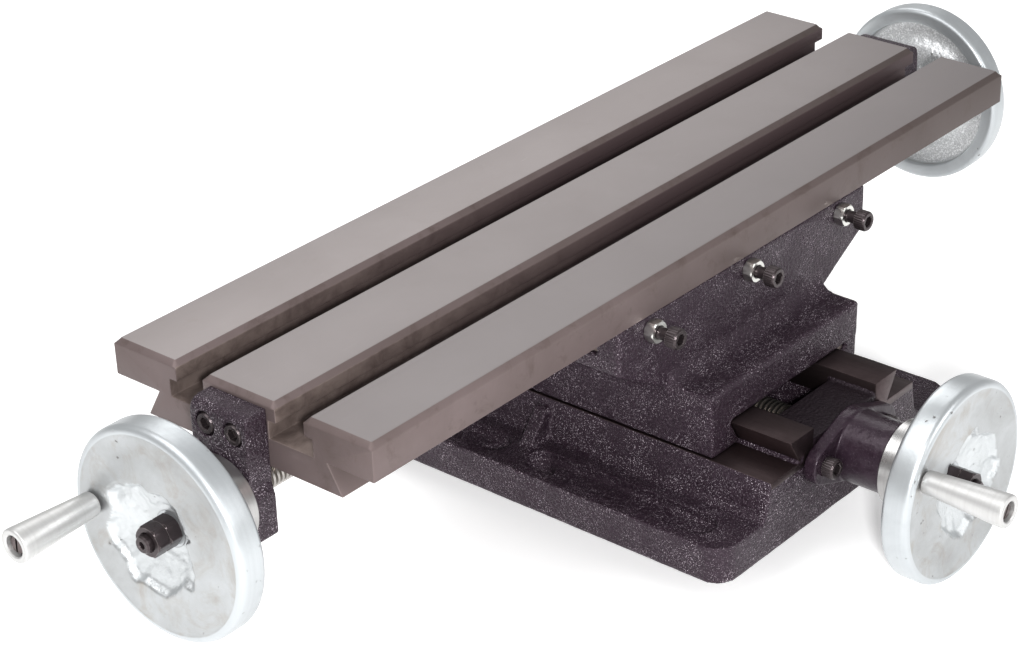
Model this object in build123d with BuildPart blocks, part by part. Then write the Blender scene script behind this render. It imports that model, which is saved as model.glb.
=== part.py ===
from build123d import *
import math
import os

# Compound cross-slide milling table, in millimetres.
# +Z is up, the front is -Y and the table runs along X.
# The origin is the middle of the base's underside.

# Overall sizes
TABLE_TOP = 130.0
TABLE_LENGTH = 480.0
TABLE_WIDTH = 150.0
TABLE_OFFSET = -15.0
WING = 17.5
DOVETAIL_HEIGHT = 13.5
FLANK = math.tan(math.radians(30))
GIB = 5.8
FIT = 0.05
GAP = 0.1

# Table
TABLE_NECK = 49.0
SLOT_SPACING = 58.0
SLOT_NECK = 16.0
SLOT_WIDE = 25.0
SLOT_LIP = 9.0
SLOT_DEPTH = 17.5
LAND_CHAMFER = 2.5

# Base
BASE_WIDTH = 192.0
BASE_LENGTH = 262.0
FLANGE = 19.0
FLANGE_CORNER = 12.0
BODY_BOTTOM = 63.0
BODY_TOP = 59.5
WAY = 38.0
RAIL_NECK = 36.4
CHANNEL = 25.6
CHANNEL_FLOOR = 17.0
FRONT_WALL = 26.0
FRONT_WALL_TOP = 46.0
TROUGH_X = 81.0
TROUGH_Y = 61.0
TROUGH_LENGTH = 108.0
TROUGH_WIDTH = 16.0
TROUGH_DEPTH = 5.0
RIB_THICK = 8.0
RIB_REACH = 76.0
BOLT_HOLE = 5.5
BOLT_HOLE_Y = 15.0

# Saddle
SADDLE = 196.0
SADDLE_DEPTH = 150.0
SADDLE_STEP = 71.0
SADDLE_WING = 90.5
BLOCK_BOTTOM = 58.5
BLOCK_TOP = 60.5
BEAM_FOOT = 64.0
SADDLE_FILLET = 9.0
GIB_SCREW_SPACING = 75.0
CROSS_GIB_SPACING = 65.0

# Screws
LONG_AXIS = 84.3
CROSS_AXIS = 33.0
THREAD = 7.0
JOURNAL = 6.0
CROSS_REACH = 85.0
BUSH = 8.5
NUT_HALF = 15.5
LONG_NUT_LENGTH = 40.0
CROSS_NUT_LENGTH = 30.0

# End brackets
BRACKET_THICK = 12.5
BRACKET_TOP = 126.5
BRACKET_BOTTOM = 67.0
BRACKET_HALF = 16.0
BRACKET_FOOT_HALF = 17.5
BRACKET_SCREW_Y = 8.0
BRACKET_SCREW_Z = 116.7

# Front bracket
FRONT_FLANGE = 6.5
FRONT_EAR = 9.5
FRONT_SCREW_X = 24.4
HUB = 18.0
HUB_LENGTH = 31.0

# Handwheels
WHEEL = 49.0
RIM_WIDTH = 14.0
WHEEL_HUB = 14.0
HUB_BEHIND = 6.5
WHEEL_FLOOR = 5.7
DIAL = 21.0
DIAL_GAP = 0.3
HANDLE_CIRCLE = 38.0
GRIP_LENGTH = 42.0
GRIP_ROOT = 5.4
GRIP_END = 7.8
STUD = 3.0
END_THREAD = 4.0
WHEEL_NUT = 6.5
WHEEL_NUT_FLATS = 13.0
KEY_WIDTH = 3.0
KEY_LENGTH = 9.0

# Distances outwards from each bearing face to the back of the wheel's rim
LEFT_GAP = 24.5
RIGHT_GAP = 27.0
FRONT_GAP = 20.0

# Fasteners: radius, head radius, head height, socket flats
M6 = (3.0, 5.0, 6.0, 5.0)
M5 = (2.5, 4.25, 5.0, 4.0)

way_top = TABLE_TOP - WING
dovetail_bottom = way_top - DOVETAIL_HEIGHT
table_left = TABLE_OFFSET - TABLE_LENGTH / 2
table_right = TABLE_OFFSET + TABLE_LENGTH / 2
rail_top = WAY + DOVETAIL_HEIGHT
front_face = -BASE_LENGTH / 2

os.makedirs("parts", exist_ok=True)


def save(name, part):
    """Labels a finished piece and writes its STEP file."""
    part.part.label = name
    export_step(part.part, f"parts/{name}.step")


def section_plane(plane):
    """A plane through the axis of `plane`: x is the radius and y runs along the axis."""
    return Plane(origin=plane.origin, x_dir=plane.x_dir, z_dir=plane.y_dir * -1)


def axis_of(plane):
    return Axis(plane.origin, plane.z_dir)


def turned(plane, points):
    """A solid of revolution about the plane's axis from (radius, height) points."""
    with BuildPart() as part:
        with BuildSketch(section_plane(plane)):
            with BuildLine():
                Polyline(*points, close=True)
            make_face()
        revolve(axis=axis_of(plane))
    return part


def cap_screws(plane, places, size, length):
    """Socket head cap screws, heads outwards, seated on `plane`."""
    radius, head, height, socket = size
    with BuildPart() as part:
        with BuildSketch(plane):
            with Locations(*places):
                Circle(head)
        extrude(amount=height)
        chamfer(part.edges().group_by(axis_of(plane))[-1], length=0.5)
        with BuildSketch(plane):
            with Locations(*places):
                Circle(radius - FIT)
        extrude(amount=-length)
        with BuildSketch(plane.offset(height)):
            with Locations(*places):
                RegularPolygon(socket / 2, 6, major_radius=False)
        extrude(amount=-height / 2, mode=Mode.SUBTRACT)
    return part


# Base casting: flanges, body, two rails and the channel for the cross feed screw
with BuildPart() as base_casting:
    rail_half = RAIL_NECK + DOVETAIL_HEIGHT * FLANK
    with BuildSketch(Plane.XZ) as base_profile:
        with BuildLine():
            Polyline(
                (0, 0),
                (BASE_WIDTH / 2, 0),
                (BASE_WIDTH / 2, FLANGE),
                (BODY_BOTTOM, FLANGE),
                (BODY_TOP, WAY),
                (RAIL_NECK, WAY),
                (rail_half, rail_top),
                (CHANNEL, rail_top),
                (CHANNEL, CHANNEL_FLOOR),
                (0, CHANNEL_FLOOR),
                close=True,
            )
        make_face()
        mirror(about=Plane.YZ)
        foot = [point for point in base_profile.vertices() if abs(point.Y - FLANGE) < 0.1]
        fillet([point for point in foot if abs(point.X) < BODY_BOTTOM + 1], radius=4.0)
        fillet([point for point in foot if abs(point.X) > BODY_BOTTOM + 1], radius=2.0)
    extrude(amount=BASE_LENGTH / 2, both=True)
    corners = base_casting.edges().filter_by(Axis.Z)
    corners = [edge for edge in corners if abs(edge.center().X) > BASE_WIDTH / 2 - 1]
    fillet(corners, radius=FLANGE_CORNER)
    with BuildSketch(Plane.XZ):
        with BuildLine():
            Polyline(
                (BODY_TOP - 2, FLANGE - 1),
                (BODY_TOP - 2, WAY - 3),
                (BODY_TOP + 4, WAY - 3),
                (RIB_REACH, FLANGE + 1),
                (RIB_REACH, FLANGE - 1),
                close=True,
            )
        make_face()
        mirror(about=Plane.YZ)
    extrude(amount=RIB_THICK / 2, both=True)
    with BuildSketch(Plane.XY.offset(CHANNEL_FLOOR)):
        with Locations((0, front_face + FRONT_WALL / 2)):
            Rectangle(CHANNEL * 2, FRONT_WALL)
    extrude(amount=FRONT_WALL_TOP - CHANNEL_FLOOR)
    with BuildSketch(Plane.XY.offset(FLANGE)):
        with GridLocations(TROUGH_X * 2, TROUGH_Y * 2, 2, 2):
            SlotOverall(TROUGH_LENGTH, TROUGH_WIDTH, rotation=90)
    extrude(amount=-TROUGH_DEPTH, mode=Mode.SUBTRACT)
    with BuildSketch(Plane.XY):
        with GridLocations(TROUGH_X * 2, BOLT_HOLE_Y * 2, 2, 2):
            Circle(BOLT_HOLE)
    extrude(amount=FLANGE, mode=Mode.SUBTRACT)
    front_plane = Plane(origin=(0, front_face, CROSS_AXIS), x_dir=(1, 0, 0), z_dir=(0, -1, 0))
    with BuildSketch(front_plane):
        Circle(THREAD + 1.5)
    extrude(amount=-FRONT_WALL, mode=Mode.SUBTRACT)
    with BuildSketch(front_plane):
        with Locations((-FRONT_SCREW_X, 0), (FRONT_SCREW_X, 0)):
            Circle(M6[0])
    extrude(amount=-18, mode=Mode.SUBTRACT)
save("base_casting", base_casting)

# Saddle casting: a block along Y on the base's rails, and a beam along X under the table
with BuildPart() as saddle_casting:
    with BuildSketch(Plane.XZ):
        with BuildLine():
            Polyline(
                (-BLOCK_BOTTOM, WAY + FIT),
                (BLOCK_BOTTOM, WAY + FIT),
                (BLOCK_TOP, SADDLE_STEP),
                (-BLOCK_TOP, SADDLE_STEP),
                close=True,
            )
        make_face()
    extrude(amount=SADDLE / 2, both=True)
    with BuildSketch(Plane.XZ):
        with BuildLine():
            Polyline(
                (-BEAM_FOOT, SADDLE_STEP),
                (-BEAM_FOOT + 4, SADDLE_STEP - 8),
                (BEAM_FOOT - 4, SADDLE_STEP - 8),
                (BEAM_FOOT, SADDLE_STEP),
                (SADDLE / 2, SADDLE_WING),
                (SADDLE / 2, way_top - FIT),
                (-SADDLE / 2, way_top - FIT),
                (-SADDLE / 2, SADDLE_WING),
                close=True,
            )
        make_face()
    extrude(amount=SADDLE_DEPTH / 2, both=True)
    ledge = saddle_casting.edges().filter_by(Axis.X)
    ledge = ledge.filter_by_position(Axis.Z, SADDLE_STEP - 0.1, SADDLE_STEP + 0.1)
    inner = [edge for edge in ledge if abs(abs(edge.center().Y) - SADDLE_DEPTH / 2) < 0.1]
    fillet(inner, radius=SADDLE_FILLET)
    outer = saddle_casting.edges().filter_by(Axis.X)
    outer = [edge for edge in outer if abs(abs(edge.center().Y) - SADDLE / 2) < 0.1]
    fillet([edge for edge in outer if edge.center().Z > SADDLE_STEP - 1], radius=3.0)
    uprights = saddle_casting.edges().filter_by(Axis.Z)
    fillet([edge for edge in uprights if abs(edge.center().X) > SADDLE / 2 - 1], radius=2.0)
    with BuildSketch(Plane.YZ):
        with BuildLine():
            Polyline(
                (TABLE_NECK + GAP, way_top),
                (TABLE_NECK + GAP + (DOVETAIL_HEIGHT + 0.4) * FLANK, dovetail_bottom - 0.4),
                (-TABLE_NECK - GIB - 2 * GAP - (DOVETAIL_HEIGHT + 0.4) * FLANK, dovetail_bottom - 0.4),
                (-TABLE_NECK - GIB - 2 * GAP, way_top),
                close=True,
            )
        make_face()
    extrude(amount=SADDLE, both=True, mode=Mode.SUBTRACT)
    with BuildSketch(Plane.XZ):
        with BuildLine():
            Polyline(
                (-RAIL_NECK - GAP, WAY),
                (-RAIL_NECK - GAP - (DOVETAIL_HEIGHT + 0.5) * FLANK, rail_top + 0.5),
                (RAIL_NECK + GIB + 2 * GAP + (DOVETAIL_HEIGHT + 0.5) * FLANK, rail_top + 0.5),
                (RAIL_NECK + GIB + 2 * GAP, WAY),
                close=True,
            )
        make_face()
    extrude(amount=SADDLE, both=True, mode=Mode.SUBTRACT)
    with BuildSketch(Plane.XY.offset(dovetail_bottom)):
        Rectangle(SADDLE + 2, 22)
    extrude(amount=-(dovetail_bottom - LONG_AXIS + 10.5), mode=Mode.SUBTRACT)
    with BuildSketch(Plane.XY.offset(dovetail_bottom)):
        Rectangle(LONG_NUT_LENGTH + 1, NUT_HALF * 2 + 1)
    extrude(amount=-(dovetail_bottom - LONG_AXIS + 12.5), mode=Mode.SUBTRACT)
    with BuildSketch(Plane.XY.offset(LONG_AXIS - 12.5)):
        with Locations((0, -11.5), (0, 11.5)):
            Circle(M5[0])
    extrude(amount=-10, mode=Mode.SUBTRACT)
    with BuildSketch(Plane.XY.offset(rail_top)):
        with Locations((-12.5, 0), (12.5, 0)):
            Circle(M6[0])
    extrude(amount=14, mode=Mode.SUBTRACT)
    gib_face = Plane(origin=(0, -SADDLE_DEPTH / 2, 105.5), x_dir=(1, 0, 0), z_dir=(0, -1, 0))
    with BuildSketch(gib_face):
        with GridLocations(GIB_SCREW_SPACING, 1, 3, 1):
            Circle(M6[0])
    extrude(amount=-20, mode=Mode.SUBTRACT)
    cross_gib_face = Plane(origin=(BLOCK_BOTTOM + 1, 0, 45), x_dir=(0, 1, 0), z_dir=(1, 0, 0))
    with BuildSketch(cross_gib_face):
        with GridLocations(CROSS_GIB_SPACING, 1, 3, 1):
            Circle(M6[0])
    extrude(amount=-16, mode=Mode.SUBTRACT)
save("saddle_casting", saddle_casting)

# Table gib: a strip between the saddle's front flank and the table's dovetail
with BuildPart() as table_gib:
    gib_top = way_top - 0.4
    with BuildSketch(Plane.YZ):
        with BuildLine():
            Polyline(
                (-TABLE_NECK - GAP - 0.4 * FLANK, gib_top),
                (-TABLE_NECK - GAP - DOVETAIL_HEIGHT * FLANK, dovetail_bottom),
                (-TABLE_NECK - GAP - GIB - DOVETAIL_HEIGHT * FLANK, dovetail_bottom),
                (-TABLE_NECK - GAP - GIB - 0.4 * FLANK, gib_top),
                close=True,
            )
        make_face()
    extrude(amount=SADDLE / 2 - 2, both=True)
save("table_gib", table_gib)

# Cross gib: a strip between the saddle's +X flank and the base's rail
with BuildPart() as cross_gib:
    gib_foot = WAY + 0.4
    with BuildSketch(Plane.XZ):
        with BuildLine():
            Polyline(
                (RAIL_NECK + GAP + 0.4 * FLANK, gib_foot),
                (RAIL_NECK + GAP + DOVETAIL_HEIGHT * FLANK, rail_top),
                (RAIL_NECK + GAP + GIB + DOVETAIL_HEIGHT * FLANK, rail_top),
                (RAIL_NECK + GAP + GIB + 0.4 * FLANK, gib_foot),
                close=True,
            )
        make_face()
    extrude(amount=SADDLE / 2 - 2, both=True)
save("cross_gib", cross_gib)


def gib_screws(face, spacing, stand_off, depth):
    """Three gib screws whose heads stand off the face, and their lock nuts."""
    places = [(-spacing, 0), (0, 0), (spacing, 0)]
    screws = cap_screws(face.offset(stand_off), places, M6, stand_off + depth)
    with BuildPart() as nuts:
        with BuildSketch(face):
            with Locations(*places):
                RegularPolygon(5.0, 6, major_radius=False, rotation=30)
                Circle(M6[0], mode=Mode.SUBTRACT)
        extrude(amount=5.2)
    return screws, nuts


table_gib_depth = SADDLE_DEPTH / 2 - TABLE_NECK - GIB - 3 * GAP - (way_top - 105.5 + M6[0]) * FLANK
table_screws, table_nuts = gib_screws(gib_face, GIB_SCREW_SPACING, 11.0, table_gib_depth)
save("table_gib_screws", table_screws)
save("table_gib_nuts", table_nuts)
cross_gib_depth = BLOCK_BOTTOM + 1 - RAIL_NECK - GIB - 3 * GAP - (45 - WAY + M6[0]) * FLANK
cross_screws, cross_nuts = gib_screws(cross_gib_face, CROSS_GIB_SPACING, 11.0, cross_gib_depth)
save("cross_gib_screws", cross_screws)
save("cross_gib_nuts", cross_nuts)

# Long feed nut: a bronze block in the saddle's pocket
with BuildPart() as long_nut:
    with BuildSketch(Plane.XY.offset(LONG_AXIS - 12.4)):
        Rectangle(LONG_NUT_LENGTH, NUT_HALF * 2)
    extrude(amount=24)
    with BuildSketch(Plane.YZ):
        with Locations((0, LONG_AXIS)):
            Circle(THREAD + FIT)
    extrude(amount=LONG_NUT_LENGTH, both=True, mode=Mode.SUBTRACT)
    with BuildSketch(Plane.XY.offset(LONG_AXIS - 12.4)):
        with Locations((0, -11.5), (0, 11.5)):
            Circle(M5[0])
    extrude(amount=24, mode=Mode.SUBTRACT)
    with BuildSketch(Plane.XY.offset(LONG_AXIS + 11.6)):
        with Locations((0, -11.5), (0, 11.5)):
            Circle(M5[1] + 0.2)
    extrude(amount=-5.5, mode=Mode.SUBTRACT)
save("long_nut", long_nut)
nut_screw_plane = Plane.XY.offset(LONG_AXIS + 6.1)
long_nut_screws = cap_screws(nut_screw_plane, [(0, -11.5), (0, 11.5)], M5, 27)
save("long_nut_screws", long_nut_screws)

# Cross feed nut: a bronze block hung from the saddle, between the rails
with BuildPart() as cross_nut:
    nut_foot = CROSS_AXIS - 12
    with BuildSketch(Plane.XY.offset(nut_foot)):
        Rectangle(36, CROSS_NUT_LENGTH)
    extrude(amount=rail_top + 0.4 - nut_foot)
    with BuildSketch(Plane.XZ):
        with Locations((0, CROSS_AXIS)):
            Circle(THREAD + FIT)
    extrude(amount=CROSS_NUT_LENGTH, both=True, mode=Mode.SUBTRACT)
    with BuildSketch(Plane.XY.offset(nut_foot)):
        with Locations((-12.5, 0), (12.5, 0)):
            Circle(M6[0])
    extrude(amount=rail_top + 1 - nut_foot, mode=Mode.SUBTRACT)
    with BuildSketch(Plane.XY.offset(nut_foot)):
        with Locations((-12.5, 0), (12.5, 0)):
            Circle(M6[1] + 0.2)
    extrude(amount=6.5, mode=Mode.SUBTRACT)
save("cross_nut", cross_nut)
cross_nut_seat = Plane(origin=(0, 0, nut_foot + 6.5), x_dir=(1, 0, 0), z_dir=(0, 0, -1))
cross_nut_screws = cap_screws(cross_nut_seat, [(-12.5, 0), (12.5, 0)], M6, 36)
save("cross_nut_screws", cross_nut_screws)

# Table: three lands, two T-slots and the dovetail below
with BuildPart() as table:
    slot_in = SLOT_SPACING / 2 - SLOT_NECK / 2
    slot_out = SLOT_SPACING / 2 + SLOT_NECK / 2
    wide_in = SLOT_SPACING / 2 - SLOT_WIDE / 2
    wide_out = SLOT_SPACING / 2 + SLOT_WIDE / 2
    with BuildSketch(Plane.YZ.offset(table_left)):
        with BuildLine():
            Polyline(
                (0, TABLE_TOP),
                (slot_in, TABLE_TOP),
                (slot_in, TABLE_TOP - SLOT_LIP),
                (wide_in, TABLE_TOP - SLOT_LIP),
                (wide_in, TABLE_TOP - SLOT_DEPTH),
                (wide_out, TABLE_TOP - SLOT_DEPTH),
                (wide_out, TABLE_TOP - SLOT_LIP),
                (slot_out, TABLE_TOP - SLOT_LIP),
                (slot_out, TABLE_TOP),
                (TABLE_WIDTH / 2, TABLE_TOP),
                (TABLE_WIDTH / 2, way_top),
                (TABLE_NECK, way_top),
                (TABLE_NECK + DOVETAIL_HEIGHT * FLANK, dovetail_bottom),
                (0, dovetail_bottom),
                close=True,
            )
        make_face()
        mirror(about=Plane.YZ)
    extrude(amount=TABLE_LENGTH)
    chamfer(table.edges().group_by(Axis.Z)[-1], length=LAND_CHAMFER)
    for end, out in ((table_left, -1), (table_right, 1)):
        end_plane = Plane(origin=(end, 0, BRACKET_SCREW_Z), x_dir=(0, 1, 0), z_dir=(out, 0, 0))
        with BuildSketch(end_plane):
            with Locations((-BRACKET_SCREW_Y, 0), (BRACKET_SCREW_Y, 0)):
                Circle(M6[0])
        extrude(amount=-16, mode=Mode.SUBTRACT)
save("table", table)


def end_bracket(end, out):
    """The bearing bracket on one end of the table, its two screws and its bush."""
    face = Plane(origin=(end, 0, 0), x_dir=(0, out, 0), z_dir=(out, 0, 0))
    outer = face.offset(BRACKET_THICK)
    waist = LONG_AXIS + 8
    with BuildPart() as bracket:
        with BuildSketch(face):
            with BuildLine():
                Polyline(
                    (-BRACKET_HALF, BRACKET_TOP),
                    (-BRACKET_HALF, waist),
                    (-BRACKET_FOOT_HALF, waist - 5),
                    (-BRACKET_FOOT_HALF, BRACKET_BOTTOM),
                    (BRACKET_FOOT_HALF, BRACKET_BOTTOM),
                    (BRACKET_FOOT_HALF, waist - 5),
                    (BRACKET_HALF, waist),
                    (BRACKET_HALF, BRACKET_TOP),
                    close=True,
                )
            make_face()
        extrude(amount=BRACKET_THICK)
        fillet(bracket.edges().filter_by(Axis.X).group_by(Axis.Z)[0], radius=1.5)
        crown = bracket.edges().filter_by(Axis.Y).group_by(Axis.Z)[-1]
        fillet(crown.sort_by(axis_of(face))[-1], radius=5.0)
        with BuildSketch(face):
            with Locations((0, LONG_AXIS)):
                Circle(BUSH)
        extrude(amount=BRACKET_THICK, mode=Mode.SUBTRACT)
        with BuildSketch(face):
            with Locations((-BRACKET_SCREW_Y, BRACKET_SCREW_Z), (BRACKET_SCREW_Y, BRACKET_SCREW_Z)):
                Circle(M6[0])
        extrude(amount=BRACKET_THICK, mode=Mode.SUBTRACT)
        with BuildSketch(outer):
            with Locations((-BRACKET_SCREW_Y, BRACKET_SCREW_Z), (BRACKET_SCREW_Y, BRACKET_SCREW_Z)):
                Circle(M6[1] + 0.5)
        extrude(amount=-M6[2], mode=Mode.SUBTRACT)
    seat = face.offset(BRACKET_THICK - M6[2])
    places = [(-BRACKET_SCREW_Y, BRACKET_SCREW_Z), (BRACKET_SCREW_Y, BRACKET_SCREW_Z)]
    screws = cap_screws(seat, places, M6, BRACKET_THICK - M6[2] + 13)
    with BuildPart() as bush:
        with BuildSketch(face):
            with Locations((0, LONG_AXIS)):
                Circle(BUSH - FIT)
                Circle(JOURNAL + FIT, mode=Mode.SUBTRACT)
        extrude(amount=BRACKET_THICK)
    return bracket, screws, bush


for side, end, out in (("left", table_left, -1), ("right", table_right, 1)):
    bracket, screws, bush = end_bracket(end, out)
    save(f"{side}_bracket", bracket)
    save(f"{side}_bracket_screws", screws)
    save(f"{side}_bush", bush)

# Front bearing bracket: an oval flange with a long round hub
with BuildPart() as front_bracket:
    with BuildSketch(front_plane):
        with BuildLine():
            lean = math.asin((HUB - FRONT_EAR) / FRONT_SCREW_X)
            top_hub = (HUB * math.sin(lean), HUB * math.cos(lean))
            top_ear = (FRONT_SCREW_X + FRONT_EAR * math.sin(lean), FRONT_EAR * math.cos(lean))
            Line(top_hub, top_ear)
            ThreePointArc(top_ear, (FRONT_SCREW_X + FRONT_EAR, 0), (top_ear[0], -top_ear[1]))
            Line((top_ear[0], -top_ear[1]), (top_hub[0], -top_hub[1]))
            ThreePointArc((top_hub[0], -top_hub[1]), (0, -HUB), (-top_hub[0], -top_hub[1]))
            Line((-top_hub[0], -top_hub[1]), (-top_ear[0], -top_ear[1]))
            ThreePointArc(
                (-top_ear[0], -top_ear[1]),
                (-FRONT_SCREW_X - FRONT_EAR, 0),
                (-top_ear[0], top_ear[1]),
            )
            Line((-top_ear[0], top_ear[1]), (-top_hub[0], top_hub[1]))
            ThreePointArc((-top_hub[0], top_hub[1]), (0, HUB), top_hub)
        make_face()
    extrude(amount=FRONT_FLANGE)
    with BuildSketch(front_plane):
        Circle(HUB - 0.5)
    extrude(amount=HUB_LENGTH)
    with BuildSketch(front_plane):
        Circle(BUSH)
        with Locations((-FRONT_SCREW_X, 0), (FRONT_SCREW_X, 0)):
            Circle(M6[0])
    extrude(amount=HUB_LENGTH, mode=Mode.SUBTRACT)
    nose = front_bracket.edges().filter_by(GeomType.CIRCLE).group_by(axis_of(front_plane))[-1]
    chamfer(nose.sort_by(SortBy.RADIUS)[-1], length=1.0)
save("front_bracket", front_bracket)
front_bracket_screws = cap_screws(
    front_plane.offset(FRONT_FLANGE),
    [(-FRONT_SCREW_X, 0), (FRONT_SCREW_X, 0)],
    M6,
    FRONT_FLANGE + 15,
)
save("front_bracket_screws", front_bracket_screws)
front_bush = turned(
    front_plane,
    [(JOURNAL + FIT, 0.2), (BUSH - FIT, 0.2), (BUSH - FIT, HUB_LENGTH), (JOURNAL + FIT, HUB_LENGTH)],
)
save("front_bush", front_bush)


def shaft_end(gap):
    """(radius, distance outwards) points of a shaft from its bearing face to its tip."""
    floor = gap + WHEEL_FLOOR
    tip = floor + 2 * WHEEL_NUT + 3.3
    return [
        (JOURNAL, floor),
        (END_THREAD, floor),
        (END_THREAD, tip - 1),
        (END_THREAD - 1, tip),
        (0, tip),
    ]


def rim_plane(bearing, gap, handle):
    """The plane of a wheel's back rim; its x axis points at the handle."""
    return Plane(origin=bearing.offset(gap).origin, x_dir=handle, z_dir=bearing.z_dir)


def key_outline(plane, radius_in, radius_out, slack):
    """The end of a key or its slot, on the side of the shaft that faces the handle."""
    with BuildSketch(plane.offset(WHEEL_FLOOR - 1 - KEY_LENGTH - slack)) as outline:
        with Locations(((radius_in + radius_out) / 2, 0)):
            Rectangle(radius_out - radius_in, KEY_WIDTH + 2 * slack)
    return outline.sketch


def handwheel(plane):
    """A cast wheel: rim, web with a scalloped hollow round the nut, and a hub behind."""
    hub_back = 2 * DIAL_GAP - HUB_BEHIND
    with BuildPart() as wheel:
        with BuildSketch(section_plane(plane)):
            with BuildLine():
                Polyline(
                    (JOURNAL + FIT, hub_back),
                    (WHEEL_HUB, hub_back),
                    (WHEEL_HUB, 1.5),
                    (29, 1.5),
                    (33, 5),
                    (39, 5),
                    (41, 0),
                    (WHEEL, 0),
                    (WHEEL, RIM_WIDTH),
                    (45, RIM_WIDTH),
                    (44.5, RIM_WIDTH - 0.8),
                    (20, RIM_WIDTH - 3.5),
                    (15, WHEEL_FLOOR),
                    (JOURNAL + FIT, WHEEL_FLOOR),
                    close=True,
                )
            make_face()
        revolve(axis=axis_of(plane))
        outer_edges = wheel.edges().filter_by(GeomType.CIRCLE)
        outer_edges = [edge for edge in outer_edges if edge.radius > WHEEL - 0.1]
        fillet(outer_edges, radius=2.5)
        with BuildSketch(plane.offset(WHEEL_FLOOR + 1)):
            with PolarLocations(18.5, 6, start_angle=30):
                Circle(7)
        extrude(amount=RIM_WIDTH, mode=Mode.SUBTRACT)
        extrude(
            key_outline(plane, JOURNAL - 1, JOURNAL + 1.6, 0.05),
            amount=KEY_LENGTH + 0.1,
            mode=Mode.SUBTRACT,
        )
        with BuildSketch(plane):
            with Locations((HANDLE_CIRCLE, 0)):
                Circle(STUD)
        extrude(amount=RIM_WIDTH, mode=Mode.SUBTRACT)
    return wheel


def wheel_set(side, bearing, gap, handle):
    """Every piece outside one bearing face: dial, wheel, key, nuts, stud and grip."""
    plane = rim_plane(bearing, gap, handle)
    length = gap - HUB_BEHIND
    dial = turned(
        bearing.offset(DIAL_GAP),
        [
            (JOURNAL + FIT, 0),
            (DIAL - 0.8, 0),
            (DIAL, 0.8),
            (DIAL, length - 1),
            (DIAL - 1, length),
            (JOURNAL + FIT, length),
        ],
    )
    save(f"{side}_dial", dial)
    with BuildPart() as wheel:
        add(wheel_pattern.part.moved(plane.location))
    save(f"{side}_handwheel", wheel)
    with BuildPart() as key:
        extrude(key_outline(plane, JOURNAL - 1.4, JOURNAL + 1.5, 0), amount=KEY_LENGTH)
    save(f"{side}_wheel_key", key)
    with BuildPart() as nuts:
        for level in (WHEEL_FLOOR + GAP, WHEEL_FLOOR + 2 * GAP + WHEEL_NUT):
            with BuildSketch(plane.offset(level)):
                RegularPolygon(WHEEL_NUT_FLATS / 2, 6, major_radius=False)
                Circle(END_THREAD + FIT, mode=Mode.SUBTRACT)
            extrude(amount=WHEEL_NUT)
    save(f"{side}_wheel_nuts", nuts)
    seat = RIM_WIDTH - 1.5
    centre = plane.from_local_coords(Vector(HANDLE_CIRCLE, 0, seat))
    hub = Plane(origin=centre, x_dir=handle, z_dir=plane.z_dir)
    head = GRIP_LENGTH - 4.5
    shank = turned(
        hub,
        [
            (0, -7),
            (STUD - FIT, -7),
            (STUD - FIT, 0.6),
            (STUD + 0.9, 0.6),
            (STUD + 0.9, 1.1),
            (STUD + 0.2, 1.1),
            (STUD + 0.2, head),
            (STUD + 1.4, head),
            (STUD + 1.4, head + 3),
            (0, head + 3),
        ],
    )
    with BuildPart() as stud:
        add(shank.part)
        with BuildSketch(hub.offset(head + 3)):
            Rectangle(1.2, 3 * STUD)
        extrude(amount=-1.2, mode=Mode.SUBTRACT)
    save(f"{side}_grip_stud", stud)
    grip = turned(
        hub.offset(1.4),
        [
            (STUD + 0.3, 0),
            (GRIP_ROOT - 0.4, 0),
            (GRIP_ROOT, 0.5),
            (GRIP_END, GRIP_LENGTH - 2.5),
            (GRIP_END - 0.8, GRIP_LENGTH - 0.6),
            (GRIP_END - 1.6, GRIP_LENGTH),
            (STUD + 1.9, GRIP_LENGTH),
            (STUD + 1.9, head - 1.6),
            (STUD + 0.3, head - 1.6),
        ],
    )
    save(f"{side}_grip", grip)


def screw_with_keyways(plane, points, wheels):
    """A turned feed screw with a keyway under each of its wheels."""
    blank = turned(plane, points)
    with BuildPart() as screw:
        add(blank.part)
        for wheel in wheels:
            slot = key_outline(wheel, JOURNAL - 1.5, JOURNAL + 1, 0.05)
            extrude(slot, amount=KEY_LENGTH + 0.1, mode=Mode.SUBTRACT)
    return screw


left_bearing = Plane(origin=(table_left - BRACKET_THICK, 0, LONG_AXIS), x_dir=(0, 1, 0), z_dir=(-1, 0, 0))
right_bearing = Plane(origin=(table_right + BRACKET_THICK, 0, LONG_AXIS), x_dir=(0, 1, 0), z_dir=(1, 0, 0))
front_bearing = front_plane.offset(HUB_LENGTH)
left_handle = (0, math.cos(math.radians(3)), math.sin(math.radians(3)))
right_handle = (0, math.sin(math.radians(20)), -math.cos(math.radians(20)))
front_handle = (math.cos(math.radians(152)), 0, math.sin(math.radians(152)))

# Long feed screw: journals in both end brackets and a thread between them
span = table_right - table_left + 2 * BRACKET_THICK
shoulder = BRACKET_THICK + 0.4
left_end = [(radius, -reach) for radius, reach in shaft_end(LEFT_GAP)]
right_end = [(radius, span + reach) for radius, reach in shaft_end(RIGHT_GAP)]
long_axis_plane = Plane(origin=left_bearing.origin, x_dir=(0, 1, 0), z_dir=(1, 0, 0))
long_screw = screw_with_keyways(
    long_axis_plane,
    left_end[::-1]
    + [
        (JOURNAL, shoulder),
        (THREAD, shoulder),
        (THREAD, span - shoulder),
        (JOURNAL, span - shoulder),
    ]
    + right_end,
    [
        rim_plane(left_bearing, LEFT_GAP, left_handle),
        rim_plane(right_bearing, RIGHT_GAP, right_handle),
    ],
)
save("long_screw", long_screw)

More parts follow.
